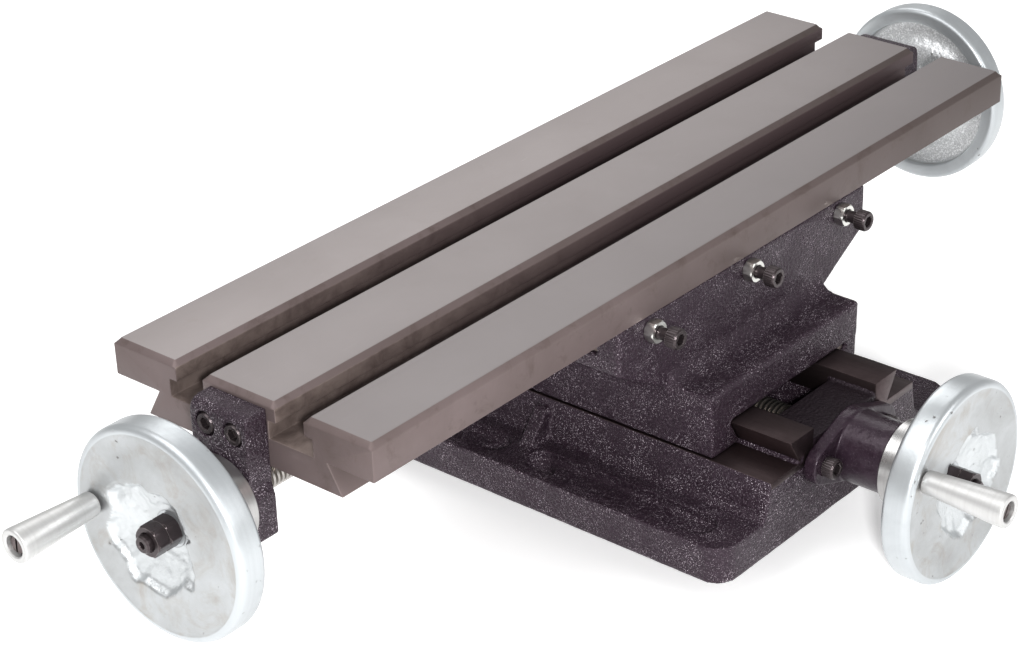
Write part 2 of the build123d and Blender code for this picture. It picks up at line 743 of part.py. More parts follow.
# Cross feed screw: one journal in the front bracket and a thread over the base
cross_screw = screw_with_keyways(
    front_bearing,
    [
        (0, -HUB_LENGTH - BASE_LENGTH / 2 - CROSS_REACH),
        (THREAD, -HUB_LENGTH - BASE_LENGTH / 2 - CROSS_REACH),
        (THREAD, -HUB_LENGTH - 0.2),
        (JOURNAL, -HUB_LENGTH - 0.2),
    ]
    + shaft_end(FRONT_GAP),
    [rim_plane(front_bearing, FRONT_GAP, front_handle)],
)
save("cross_screw", cross_screw)

wheel_pattern = handwheel(Plane.XY)
wheel_set("left", left_bearing, LEFT_GAP, left_handle)
wheel_set("right", right_bearing, RIGHT_GAP, right_handle)
wheel_set("front", front_bearing, FRONT_GAP, front_handle)
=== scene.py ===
import math

import bmesh
import bpy
from mathutils import Matrix, Vector, noise


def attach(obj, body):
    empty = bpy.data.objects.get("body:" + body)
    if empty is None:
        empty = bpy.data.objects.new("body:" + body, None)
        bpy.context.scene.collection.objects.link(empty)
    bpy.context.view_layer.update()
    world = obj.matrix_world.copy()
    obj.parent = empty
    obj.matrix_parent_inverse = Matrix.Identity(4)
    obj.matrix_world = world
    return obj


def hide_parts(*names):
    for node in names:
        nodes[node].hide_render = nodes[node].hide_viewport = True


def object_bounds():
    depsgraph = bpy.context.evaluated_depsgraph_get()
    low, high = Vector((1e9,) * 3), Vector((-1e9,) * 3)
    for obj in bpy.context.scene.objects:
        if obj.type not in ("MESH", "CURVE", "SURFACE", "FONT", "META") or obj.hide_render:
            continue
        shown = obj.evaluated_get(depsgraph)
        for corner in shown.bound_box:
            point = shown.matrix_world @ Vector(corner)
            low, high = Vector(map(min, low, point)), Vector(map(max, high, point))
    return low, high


# Compound cross-slide milling table. Sizes are in millimetres and become metres in the meshes.

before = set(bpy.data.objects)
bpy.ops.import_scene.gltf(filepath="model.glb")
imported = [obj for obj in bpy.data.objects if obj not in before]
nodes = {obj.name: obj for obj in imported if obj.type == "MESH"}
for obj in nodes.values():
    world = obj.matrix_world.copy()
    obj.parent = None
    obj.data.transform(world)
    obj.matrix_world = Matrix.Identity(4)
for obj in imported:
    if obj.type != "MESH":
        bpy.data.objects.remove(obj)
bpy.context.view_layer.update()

MM = 0.001
TURN = 2 * math.pi

# Sizes shared with the CAD model
TABLE_TOP = 130.0
TABLE_LEFT = -255.0
TABLE_RIGHT = 225.0
TABLE_CHAMFER = 2.5
SLOT_FLOOR = 112.5
WAY = 38.0
RAIL_TOP = 51.5
RAIL_END = 130.85
LONG_AXIS = 84.3
CROSS_AXIS = 33.0
LONG_SCREW_LEFT = -267.5
LONG_SCREW_RIGHT = 237.5
CROSS_SCREW_START = -162.0
SCREW_CREST = 6.95
SCREW_ROOT = 5.6
SCREW_PITCH = 2.5
HANDLE_CIRCLE = 38.0
RIM_WIDTH = 14.0
HANDLE_SEAT = RIM_WIDTH - 1.5
WHEEL_BORE = 6.1
NUT_SEAT = 5.7
LEFT_GAP = 24.5
RIGHT_GAP = 27.0
FRONT_GAP = 20.0
HUB_BEHIND = 6.5

# M6 socket head cap screws and their lock nuts
SCREW_HEAD = 5.0
SCREW_HEAD_HEIGHT = 6.0
SCREW_SOCKET = 5.0
SCREW_SHANK = 3.0
LOCK_NUT_FLATS = 10.0
LOCK_NUT_HEIGHT = 5.2
LOCK_NUT_BORE = 3.02
STICK_OUT = 11.0
TABLE_GIB_FACE = -75.0
TABLE_GIB_HEIGHT = 105.5
TABLE_GIB_SPACING = 75.0
CROSS_GIB_FACE = 59.5
CROSS_GIB_HEIGHT = 45.0
CROSS_GIB_SPACING = 65.0
BRACKET_THICKNESS = 6.5
BRACKET_BOLT_HEIGHT = 116.7
BRACKET_BOLT_OFFSET = 8.0
FLANGE_FACE = -137.5
FLANGE_BOLT_OFFSET = 24.4


# ---------------------------------------------------------------- mesh helpers


def placed(origin, x_dir, z_dir):
    """The matrix from a piece's own millimetres to the scene's metres."""
    x_dir = Vector(x_dir).normalized()
    z_dir = Vector(z_dir).normalized()
    y_dir = z_dir.cross(x_dir)
    turn = Matrix((x_dir, y_dir, z_dir)).transposed().to_4x4()
    return Matrix.Scale(MM, 4) @ Matrix.Translation(Vector(origin)) @ turn


def object_from(name, bm):
    """Turns a bmesh into an object in the scene."""
    bmesh.ops.recalc_face_normals(bm, faces=bm.faces)
    mesh = bpy.data.meshes.new(name)
    bm.to_mesh(mesh)
    bm.free()
    obj = bpy.data.objects.new(name, mesh)
    bpy.context.scene.collection.objects.link(obj)
    return obj


def settle(obj):
    """Makes the result of an object's modifiers its own mesh."""
    graph = bpy.context.evaluated_depsgraph_get()
    mesh = bpy.data.meshes.new_from_object(obj.evaluated_get(graph))
    obj.modifiers.clear()
    obj.data = mesh
    return obj


def shade(obj, degrees=32):
    """Smooth shading, with creases sharper than the angle kept."""
    for face in obj.data.polygons:
        face.use_smooth = True
    obj.data.set_sharp_from_angle(angle=math.radians(degrees))
    return obj


def bevel(obj, width, segments=2, degrees=28):
    """Rounds the sharp edges of an object."""
    step = obj.modifiers.new("Bevel", "BEVEL")
    step.width = width * MM
    step.segments = segments
    step.limit_method = "ANGLE"
    step.angle_limit = math.radians(degrees)
    step.use_clamp_overlap = True
    return settle(obj)


def value_at(value, angle):
    return value(angle) if callable(value) else value


def add_loft(bm, rings, place, count=96, closed=False):
    """Adds a skin over rings of (radius, height); either may be a function of the angle."""
    rows = []
    for radius, height in rings:
        if radius == 0:
            rows.append([bm.verts.new(place @ Vector((0, 0, height)))])
            continue
        row = []
        for step in range(count):
            angle = TURN * step / count
            reach = value_at(radius, angle)
            level = value_at(height, angle)
            point = Vector((reach * math.cos(angle), reach * math.sin(angle), level))
            row.append(bm.verts.new(place @ point))
        rows.append(row)
    pairs = list(zip(rows, rows[1:]))
    if closed:
        pairs.append((rows[-1], rows[0]))
    for low, high in pairs:
        for step in range(count):
            after = (step + 1) % count
            corners = []
            for vert in (
                low[step % len(low)],
                low[after % len(low)],
                high[after % len(high)],
                high[step % len(high)],
            ):
                if vert not in corners:
                    corners.append(vert)
            if len(corners) > 2:
                bm.faces.new(corners)
    if not closed:
        for row in (rows[0], rows[-1]):
            if len(row) > 2:
                bm.faces.new(row)


def hexagon(flats, limit=99.0, slack=1.0):
    """Radius of a hexagon at each angle, cut back to a circle of the limit."""

    def radius(angle):
        lean = (angle % (TURN / 6)) - TURN / 12
        return min(flats / 2 * slack / math.cos(lean), limit)

    return radius


def knurl(radius, ridges, depth):
    return lambda angle: radius - depth * (0.5 - 0.5 * math.cos(ridges * angle))


def lathe(name, rings, place, count=128, closed=True, degrees=28):
    bm = bmesh.new()
    add_loft(bm, rings, place, count, closed)
    return shade(object_from(name, bm), degrees)


def cast(name, source, voxel, rounding, lump, inset):
    """A casting's skin: the CAD node's shape with soft edges and an uneven surface."""
    mesh = nodes[source].data.copy()
    obj = bpy.data.objects.new(name, mesh)
    bpy.context.scene.collection.objects.link(obj)
    skin = obj.modifiers.new("Remesh", "REMESH")
    skin.mode = "VOXEL"
    skin.voxel_size = voxel * MM
    soften = obj.modifiers.new("Soften", "SMOOTH")
    soften.factor = 0.5
    soften.iterations = rounding
    clouds = bpy.data.textures.new(name + "_lumps", "CLOUDS")
    clouds.noise_scale = 0.009
    clouds.noise_depth = 2
    uneven = obj.modifiers.new("Uneven", "DISPLACE")
    uneven.texture = clouds
    uneven.texture_coords = "LOCAL"
    uneven.strength = lump * MM
    uneven.mid_level = 0.5
    sink = obj.modifiers.new("Inset", "DISPLACE")
    sink.strength = -inset * MM
    sink.mid_level = 0
    settle(obj)
    obj.data.materials.clear()
    for face in obj.data.polygons:
        face.use_smooth = True
    return obj


def prism(name, outline, low, high, place, rounding):
    """An outline in the place's x and y, extruded from low to high, with its edges rounded."""
    bm = bmesh.new()
    ends = []
    for level in (low, high):
        ends.append([bm.verts.new(place @ Vector((x, y, level))) for x, y in outline])
    bm.faces.new(ends[0])
    bm.faces.new(ends[1])
    for step in range(len(outline)):
        after = (step + 1) % len(outline)
        bm.faces.new((ends[0][step], ends[0][after], ends[1][after], ends[1][step]))
    return shade(bevel(object_from(name, bm), rounding))


def join(name, objects):
    """Merges several objects into one mesh."""
    bm = bmesh.new()
    for obj in objects:
        bm.from_mesh(obj.data)
        bpy.data.objects.remove(obj)
    merged = bpy.data.meshes.new(name)
    bm.to_mesh(merged)
    bm.free()
    result = bpy.data.objects.new(name, merged)
    bpy.context.scene.collection.objects.link(result)
    return result


# ---------------------------------------------------------------- materials


def add(tree, kind, inputs=None, **settings):
    """A shader node with its inputs linked or set."""
    made = tree.nodes.new(kind)
    for key, value in settings.items():
        setattr(made, key, value)
    for key, value in (inputs or {}).items():
        if isinstance(value, bpy.types.NodeSocket):
            tree.links.new(value, made.inputs[key])
        else:
            made.inputs[key].default_value = value
    return made


def maths(tree, operation, *values):
    return add(tree, "ShaderNodeMath", dict(enumerate(values)), operation=operation).outputs[0]


def stretch(tree, source, low, high, to_low=0.0, to_high=1.0):
    """Maps low..high to to_low..to_high, held at the ends."""
    values = {"Value": source, "From Min": low, "From Max": high, "To Min": to_low, "To Max": to_high}
    return add(tree, "ShaderNodeMapRange", values).outputs["Result"]


def blend_colours(tree, share, first, second, mode="MIX"):
    made = tree.nodes.new("ShaderNodeMix")
    made.data_type = "RGBA"
    made.blend_type = mode
    for index, value in ((0, share), (6, first), (7, second)):
        if isinstance(value, bpy.types.NodeSocket):
            tree.links.new(value, made.inputs[index])
        elif index == 0:
            made.inputs[index].default_value = value
        else:
            made.inputs[index].default_value = (*value, 1.0)
    return made.outputs[2]


def scaled(tree, coords, size):
    return add(tree, "ShaderNodeMapping", {"Vector": coords, "Scale": size}).outputs["Vector"]


def grain(tree, coords, scale, detail=3.0, roughness=0.55, distortion=0.0):
    values = {
        "Vector": coords,
        "Scale": scale,
        "Detail": detail,
        "Roughness": roughness,
        "Distortion": distortion,
    }
    return add(tree, "ShaderNodeTexNoise", values).outputs["Fac"]


def round_axis(tree, coords, axis, centre):
    """Coordinates that are constant round an axis: (along, out from it, 0)."""
    moved = add(
        tree, "ShaderNodeVectorMath", {0: coords, 1: [c * MM for c in centre]}, operation="SUBTRACT"
    ).outputs[0]
    far_shade = add(tree, "ShaderNodeVectorMath", {0: moved, 1: axis}, operation="DOT_PRODUCT").outputs["Value"]
    mask = [1.0 - abs(a) for a in axis]
    flat = add(tree, "ShaderNodeVectorMath", {0: moved, 1: mask}, operation="MULTIPLY").outputs[0]
    out = add(tree, "ShaderNodeVectorMath", {0: flat}, operation="LENGTH").outputs["Value"]
    return add(tree, "ShaderNodeCombineXYZ", {"X": far_shade, "Y": out}).outputs["Vector"]


def edge_mask(tree, radius, low, high):
    """1 on worn edges and 0 on flat faces."""
    rounded = add(tree, "ShaderNodeBevel", {"Radius": radius * MM}, samples=6).outputs["Normal"]
    plain = add(tree, "ShaderNodeNewGeometry").outputs["Normal"]
    far_shade = add(tree, "ShaderNodeVectorMath", {0: rounded, 1: plain}, operation="DOT_PRODUCT")
    return stretch(tree, maths(tree, "SUBTRACT", 1.0, far_shade.outputs["Value"]), low, high)


def new_material(name):
    material = bpy.data.materials.new(name)
    material.use_nodes = True
    tree = material.node_tree
    tree.nodes.clear()
    output = tree.nodes.new("ShaderNodeOutputMaterial")
    shader = tree.nodes.new("ShaderNodeBsdfPrincipled")
    tree.links.new(shader.outputs[0], output.inputs[0])
    coords = tree.nodes.new("ShaderNodeTexCoord").outputs["Object"]
    return material, tree, shader, coords


def bump(tree, height, depth, below=None, strength=1.0):
    values = {"Height": height, "Distance": depth * MM, "Strength": strength}
    if below is not None:
        values["Normal"] = below
    return add(tree, "ShaderNodeBump", values).outputs["Normal"]


def paint(name, colour, roughness, wrinkle, scale, dust, painted_glints, shade_channel=False):
    """Black paint over a casting: wrinkled or smooth, with dust, bright specks of painted glint, and painted
    shade in the channel between the rails.
    """
    material, tree, shader, coords = new_material(name)
    ripples = grain(tree, coords, scale, 3.0, 0.6, 0.6)
    cells = add(
        tree, "ShaderNodeTexVoronoi", {"Vector": coords, "Scale": scale * 0.9}, feature="SMOOTH_F1"
    ).outputs["Distance"]
    height = maths(tree, "ADD", ripples, maths(tree, "MULTIPLY", cells, 0.7))
    broad = grain(tree, coords, 26.0, 4.0)
    pale = tuple(c * 3.2 + 0.012 for c in colour)
    crests = stretch(tree, height, 0.55, 1.15)
    tone = blend_colours(tree, maths(tree, "MULTIPLY", crests, dust), colour, pale)
    # Painted glints: bright specks mixed into the colour stand in for highlights.
    sharp = grain(tree, coords, 1700.0, 2.0, 0.78)
    glints = stretch(tree, sharp, 0.615, 0.655, 0.0, painted_glints)
    patches = stretch(tree, grain(tree, coords, 75.0, 3.0), 0.38, 0.6, 0.25, 1.0)
    glints = maths(tree, "MULTIPLY", glints, patches)
    if shade_channel:
        # Painted shade: between the rails at the base's front the paint is darkened and its glints are cut,
        # standing in for the shade there.
        place = add(tree, "ShaderNodeSeparateXYZ", {"Vector": coords})
        inside = stretch(tree, maths(tree, "ABSOLUTE", place.outputs["X"]), 0.024, 0.029, 1.0, 0.0)
        ahead = stretch(tree, place.outputs["Y"], -0.1, -0.08, 1.0, 0.0)
        above = stretch(tree, place.outputs["Z"], 0.022, 0.027)
        channel_shade_mask = maths(tree, "MULTIPLY", maths(tree, "MULTIPLY", inside, ahead), above)
        tone = blend_colours(tree, maths(tree, "MULTIPLY", channel_shade_mask, 0.8), tone, (0.004, 0.0025, 0.003))
        glints = maths(tree, "MULTIPLY", glints, maths(tree, "SUBTRACT", 1.0, channel_shade_mask))
    tone = blend_colours(tree, glints, tone, (0.62, 0.54, 0.6))
    uneven = stretch(tree, ripples, 0.45, 0.65, 0.3, 1.0)
    worn = maths(tree, "MULTIPLY", edge_mask(tree, 0.9, 0.06, 0.4), uneven)
    tone = blend_colours(tree, worn, tone, (0.07, 0.055, 0.065))
    tree.links.new(tone, shader.inputs["Base Color"])
    gloss = stretch(tree, broad, 0.3, 0.7, roughness - 0.07, roughness + 0.1)
    tree.links.new(gloss, shader.inputs["Roughness"])
    shader.inputs["Metallic"].default_value = 0.0
    shader.inputs["Specular IOR Level"].default_value = 0.3
    shader.inputs["Specular Tint"].default_value = (1.0, 0.86, 0.96, 1.0)
    coarse = bump(tree, broad, 0.35)
    tree.links.new(bump(tree, height, wrinkle, coarse), shader.inputs["Normal"])
    return material


def metal(
    name,
    colour,
    dark,
    roughness,
    lines,
    turned=None,
    depth=0.02,
    stain=0.4,
    wear=0.35,
    metallic=1.0,
    worn=None,
):
    """Machined or cast metal. lines is the grain's stretch; turned puts it round an axis."""
    material, tree, shader, coords = new_material(name)
    if turned:
        flow = scaled(tree, round_axis(tree, coords, *turned), lines)
    else:
        flow = scaled(tree, coords, lines)
    streaks = grain(tree, flow, 1.0, 4.0, 0.65)
    clouds = grain(tree, coords, 34.0, 5.0, 0.6, 0.4)
    fine = grain(tree, coords, 420.0, 3.0, 0.6)
    tone = blend_colours(tree, stretch(tree, clouds, 0.42, 0.78, 0.0, stain), colour, dark)
    tone = blend_colours(tree, stretch(tree, streaks, 0.35, 0.75, 0.0, 0.3), tone, dark)
    bright = worn or tuple(min(c * 1.35 + 0.05, 0.95) for c in colour)
    edges = maths(tree, "MULTIPLY", edge_mask(tree, 0.6, 0.04, 0.3), wear)
    tone = blend_colours(tree, edges, tone, bright)
    tree.links.new(tone, shader.inputs["Base Color"])
    shader.inputs["Metallic"].default_value = metallic
    mixed = maths(tree, "ADD", maths(tree, "MULTIPLY", streaks, 0.5), maths(tree, "MULTIPLY", clouds, 0.5))
    gloss = stretch(tree, mixed, 0.3, 0.7, roughness - 0.08, roughness + 0.1)
    tree.links.new(gloss, shader.inputs["Roughness"])
    below = bump(tree, fine, depth * 0.8)
    tree.links.new(bump(tree, streaks, depth, below), shader.inputs["Normal"])
    return material


def wheel_metal(name, axis, centre):
    """A wheel's turned rim, stained cast face, hollow coloured lighter as a painted highlight, and rough
    back.
    """
    material, tree, shader, coords = new_material(name)
    zone = add(tree, "ShaderNodeAttribute", attribute_name="zone").outputs["Fac"]
    flow = scaled(tree, round_axis(tree, coords, axis, centre), (240.0, 160.0, 1.0))
    streaks = grain(tree, flow, 1.0, 4.0, 0.65)
    clouds = grain(tree, coords, 30.0, 5.0, 0.62, 0.5)
    stains = grain(tree, coords, 52.0, 5.0, 0.68, 0.9)
    sandy = grain(tree, coords, 560.0, 3.0, 0.65)
    lined = stretch(tree, streaks, 0.35, 0.75, 0.0, 0.5)
    turned = blend_colours(tree, lined, (0.5, 0.525, 0.54), (0.4, 0.42, 0.435))
    dulled = stretch(tree, clouds, 0.5, 0.75, 0.0, 0.5)
    turned = blend_colours(tree, dulled, turned, (0.31, 0.325, 0.345))
    mottled = stretch(tree, clouds, 0.35, 0.7)
    face = blend_colours(tree, mottled, (0.42, 0.435, 0.445), (0.335, 0.34, 0.34))
    stained = stretch(tree, stains, 0.5, 0.75, 0.0, 0.6)
    face = blend_colours(tree, stained, face, (0.27, 0.225, 0.175))
    # Painted highlight: the hollow is coloured lighter than the cast face, for the light that falls into it.
    greyed = stretch(tree, clouds, 0.45, 0.75, 0.0, 0.5)
    hollow = blend_colours(tree, greyed, (0.55, 0.57, 0.58), (0.42, 0.435, 0.44))
    gritty = stretch(tree, grain(tree, coords, 1150.0, 2.0, 0.7), 0.48, 0.62)
    web = blend_colours(tree, gritty, (0.6, 0.61, 0.62), (0.92, 0.93, 0.94))
    tone = blend_colours(tree, stretch(tree, zone, 0.0, 1.0), turned, face)
    tone = blend_colours(tree, stretch(tree, zone, 1.0, 2.0), tone, hollow)
    tone = blend_colours(tree, stretch(tree, zone, 2.0, 3.0), tone, web)
    spots = add(tree, "ShaderNodeTexVoronoi", {"Vector": coords, "Scale": 210.0}).outputs["Distance"]
    ragged = maths(tree, "ADD", spots, maths(tree, "MULTIPLY", maths(tree, "SUBTRACT", sandy, 0.5), 0.7))
    chance = stretch(tree, grain(tree, coords, 75.0, 2.0), 0.57, 0.62)
    holes = maths(tree, "MULTIPLY", stretch(tree, ragged, 0.04, 0.14, 1.0, 0.0), chance)
    tone = blend_colours(tree, maths(tree, "MULTIPLY", holes, 0.75), tone, (0.12, 0.11, 0.1))
    tree.links.new(tone, shader.inputs["Base Color"])
    shader.inputs["Metallic"].default_value = 0.82
    tree.links.new(stretch(tree, clouds, 0.3, 0.7, 0.32, 0.46), shader.inputs["Roughness"])
    skin = stretch(tree, zone, 0.5, 3.0, 0.1, 1.0)
    below = bump(tree, maths(tree, "MULTIPLY", sandy, skin), 0.5)
    below = bump(tree, holes, -0.3, below)
    tree.links.new(bump(tree, streaks, 0.02, below), shader.inputs["Normal"])
    return material


def table_material():
    """Ground lands, milled sides and oily slots on one cast-iron table."""
    material, tree, shader, coords = new_material("table_iron_worn")
    zone = add(tree, "ShaderNodeAttribute", attribute_name="zone").outputs["Fac"]
    streaks = grain(tree, scaled(tree, coords, (9.0, 900.0, 900.0)), 1.0, 4.0, 0.7)
    arcs = grain(tree, scaled(tree, coords, (260.0, 34.0, 34.0)), 1.0, 3.0, 0.6, 0.5)
    clouds = grain(tree, coords, 13.0, 5.0, 0.62, 0.3)
    spots = grain(tree, coords, 75.0, 5.0, 0.68, 0.5)
    fine = grain(tree, coords, 520.0, 3.0, 0.6)
    cloudy = stretch(tree, clouds, 0.35, 0.75)
    top = blend_colours(tree, cloudy, (0.285, 0.256, 0.252), (0.262, 0.234, 0.229))
    top = blend_colours(tree, stretch(tree, spots, 0.6, 0.85, 0.0, 0.25), top, (0.2, 0.165, 0.15))
    scratches = grain(tree, scaled(tree, coords, (40.0, 700.0, 700.0)), 1.0, 2.0, 0.5, 1.5)
    top = blend_colours(tree, stretch(tree, scratches, 0.72, 0.82, 0.0, 0.4), top, (0.42, 0.4, 0.39))
    where = add(tree, "ShaderNodeSeparateXYZ", {"Vector": coords})
    # Painted shade: the lands are darker towards the front, standing in for the weaker reflection there.
    front_shade = stretch(tree, where.outputs["Y"], -0.065, 0.06, 0.85, 0.0)
    top = blend_colours(tree, front_shade, top, (0.18, 0.163, 0.163))
    cloudy = stretch(tree, clouds, 0.35, 0.7)
    side = blend_colours(tree, cloudy, (0.14, 0.107, 0.105), (0.1, 0.075, 0.071))
    # Painted shade: the sides darken from left of the middle towards the right-hand end.
    far_shade = stretch(tree, where.outputs["X"], -0.1, 0.2, 0.0, 0.9)
    side = blend_colours(tree, far_shade, side, (0.075, 0.058, 0.054))
    side = blend_colours(tree, stretch(tree, spots, 0.55, 0.8, 0.0, 0.7), side, (0.06, 0.04, 0.032))
    spotted = stretch(tree, spots, 0.4, 0.7)
    slots = blend_colours(tree, spotted, (0.17, 0.132, 0.118), (0.08, 0.058, 0.052))
    # Painted shade: the slots darken from the left end to the middle and stay dark beyond it.
    far_shade = stretch(tree, where.outputs["X"], -0.25, 0.0)
    slots = blend_colours(tree, far_shade, slots, (0.085, 0.059, 0.061))
    tone = blend_colours(tree, stretch(tree, zone, 0.0, 1.0), top, side)
    tone = blend_colours(tree, stretch(tree, zone, 1.0, 2.0), tone, slots)
    uneven = stretch(tree, clouds, 0.3, 0.6, 0.35, 1.0)
    worn = maths(tree, "MULTIPLY", edge_mask(tree, 0.7, 0.03, 0.25), uneven)
    tone = blend_colours(tree, maths(tree, "MULTIPLY", worn, 0.75), tone, (0.42, 0.39, 0.37))
    tree.links.new(tone, shader.inputs["Base Color"])
    tree.links.new(stretch(tree, zone, 0.0, 2.0, 0.45, 0.35), shader.inputs["Metallic"])
    shader.inputs["Specular IOR Level"].default_value = 0.3
    gloss = stretch(tree, clouds, 0.3, 0.7, 0.48, 0.54)
    tree.links.new(gloss, shader.inputs["Roughness"])
    below = bump(tree, fine, 0.012)
    below = bump(tree, arcs, 0.015, below)
    tree.links.new(bump(tree, streaks, 0.016, below), shader.inputs["Normal"])
    return material


wrinkle_black = paint(
    "wrinkle_black_paint",
    (0.0115, 0.0055, 0.01),
    roughness=0.42,
    wrinkle=0.6,
    scale=780.0,
    dust=0.3,
    painted_glints=0.85,
)
base_black = paint(
    "base_black_paint",
    (0.012, 0.006, 0.0105),
    roughness=0.42,
    wrinkle=0.6,
    scale=780.0,
    dust=0.35,
    painted_glints=0.95,
    shade_channel=True,
)
bracket_black = paint(
    "bracket_black_paint",
    (0.012, 0.0065, 0.0105),
    roughness=0.38,
    wrinkle=0.65,
    scale=860.0,
    dust=0.35,
    painted_glints=1.0,
)
smooth_black = paint(
    "smooth_black_paint",
    (0.014, 0.0075, 0.0125),
    roughness=0.27,
    wrinkle=0.12,
    scale=520.0,
    dust=0.2,
    painted_glints=0.08,
)
table_iron = table_material()
ACROSS_RAILS = (700.0, 14.0, 700.0)
ALONG_GIB = (30.0, 500.0, 500.0)
EVEN = (300.0, 300.0, 300.0)
EVEN_COARSE = (260.0, 260.0, 260.0)
rail_iron = metal(
    "rail_iron", (0.085, 0.062, 0.064), (0.035, 0.024, 0.024), 0.4, ACROSS_RAILS, stain=0.8
)
gib_iron = metal("gib_iron", (0.16, 0.13, 0.12), (0.06, 0.045, 0.04), 0.42, ALONG_GIB, stain=0.6)
bronze = metal("bronze", (0.55, 0.36, 0.17), (0.3, 0.17, 0.07), 0.36, EVEN, stain=0.5)
zinc = metal("zinc_plate", (0.66, 0.66, 0.63), (0.4, 0.39, 0.36), 0.3, EVEN_COARSE)
black_oxide = metal(
    "black_oxide",
    (0.05, 0.039, 0.042),
    (0.02, 0.0145, 0.0145),
    0.3,
    EVEN,
    wear=0.8,
    metallic=0.7,
    worn=(0.3, 0.26, 0.25),
)
# Painted shade: the handle screw's head sits deep in the grip's bore, and this darkened colour stands in for
# the shade there.
bore_shade_screw = metal(
    "bore_shade_screw",
    (0.13, 0.105, 0.105),
    (0.05, 0.038, 0.036),
    0.4,
    EVEN,
    wear=0.5,
    worn=(0.4, 0.37, 0.35),
)


def turned_metals(side, axis, centre):
    """Turned steel and aluminium whose tool marks run round one shaft."""
    where = (axis, centre)
    rim = wheel_metal(side + "_aluminium", *where)
    fine_lines = (900.0, 500.0, 1.0)
    satin = (0.47, 0.465, 0.46)
    dial = metal(side + "_satin_steel", satin, (0.26, 0.25, 0.245), 0.3, fine_lines, where)
    coarse_lines = (700.0, 500.0, 1.0)
    steel = (0.42, 0.4, 0.38)
    shaft = metal(side + "_turned_steel", steel, (0.18, 0.15, 0.12), 0.3, coarse_lines, where)
    return rim, dial, shaft


def grip_metal(side, axis, centre):
    """Satin steel of a grip, turned round its own axis."""
    return metal(
        side + "_grip_steel",
        (0.56, 0.56, 0.555),
        (0.4, 0.39, 0.38),
        0.42,
        (600.0, 400.0, 1.0),
        (axis, centre),
        depth=0.015,
        stain=0.35,
        wear=0.2,
        metallic=0.75,
    )


# ---------------------------------------------------------------- pieces


def finish_piece(obj, body, slot, material, *replaced):
    """Gives a piece its body and material, and hides the CAD nodes it stands for; the slot is not used."""
    obj.data.materials.clear()
    obj.data.materials.append(material)
    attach(obj, body)
    if replaced:
        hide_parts(*replaced)
    return obj


def table_outline():
    """Half of the table's cross-section as (y, z), from the middle of the top to the dovetail."""
    return [
        (18.5, TABLE_TOP),
        (21.0, TABLE_TOP - TABLE_CHAMFER),
        (21.0, 121.0),
        (16.5, 121.0),
        (16.5, SLOT_FLOOR),
        (41.5, SLOT_FLOOR),
        (41.5, 121.0),
        (37.0, 121.0),
        (37.0, TABLE_TOP - TABLE_CHAMFER),
        (39.5, TABLE_TOP),
        (72.5, TABLE_TOP),
        (75.0, TABLE_TOP - TABLE_CHAMFER),
        (75.0, SLOT_FLOOR),
        (49.0, SLOT_FLOOR),
        (56.79, 99.0),
    ]


def build_table():
    """The table's skin, lofted along x, with a zone of 0 on the lands, 1 on the sides and 2 in the slots."""
    half = table_outline()
    loop = half + [(-y, z) for y, z in reversed(half)]
    stations = [(TABLE_LEFT, TABLE_CHAMFER), (TABLE_LEFT + TABLE_CHAMFER, 0.0)]
    stations += [(TABLE_LEFT + 60.0 * step, 0.0) for step in range(1, 8)]
    stations += [(TABLE_RIGHT - TABLE_CHAMFER, 0.0), (TABLE_RIGHT, TABLE_CHAMFER)]
    bm = bmesh.new()
    rows = []
    for x, drop in stations:
        row = [bm.verts.new(Vector((x, y, min(z, TABLE_TOP - drop))) * MM) for y, z in loop]
        rows.append(row)
    bm.faces.new(rows[0])
    bm.faces.new(rows[-1])
    for low, high in zip(rows, rows[1:]):
        for step in range(len(loop)):
            after = (step + 1) % len(loop)
            bm.faces.new((low[step], low[after], high[after], high[step]))
    obj = bevel(object_from("table_body_machined", bm), 0.45, 3, 20)
    shade(obj, 40)
    zone = obj.data.attributes.new("zone", "FLOAT", "FACE")
    values = []
    for face in obj.data.polygons:
        y, z = abs(face.center.y) / MM, face.center.z / MM
        in_slot = 15.0 < y < 43.0 and SLOT_FLOOR - 0.5 < z < TABLE_TOP - TABLE_CHAMFER + 0.1
        if face.normal.z > 0.9 and z > TABLE_TOP - 1:
            values.append(0.0)
        elif in_slot and abs(face.normal.x) < 0.5:
            values.append(2.0)
        else:
            values.append(1.0)
    zone.data.foreach_set("value", values)
    return obj


# The scalloped edge of a wheel's hollow: degrees from the handle, and the radius there
HOLLOW = (
    (0, 28.8), (7, 30.3), (18, 34.2), (27, 34.6), (38, 32.3), (46, 31.9), (53, 34.4), (60, 35.2),
    (68, 31.6), (78, 31.0), (93, 30.6), (102, 28.2), (110, 25.8), (121, 23.6), (132, 26.8),
    (146, 23.0), (159, 19.7), (173, 16.5), (187, 15.2), (196, 18.6), (205, 17.0), (222, 17.1),
    (241, 19.5), (259, 20.3), (285, 18.9), (300, 23.0), (320, 25.2), (333, 28.8), (346, 31.6),
)


def lobe_edge(angle, turned):
    """Radius of the scalloped hollow in a wheel's face, at an angle from the handle."""
    degrees = (math.degrees(angle) - turned) % 360
    points = HOLLOW + ((360, HOLLOW[0][1]),)
    for (low, first), (high, second) in zip(points, points[1:]):
        if degrees <= high:
            share = (degrees - low) / (high - low)
            share = share * share * (3 - 2 * share)
            return first + (second - first) * share
    return HOLLOW[0][1]


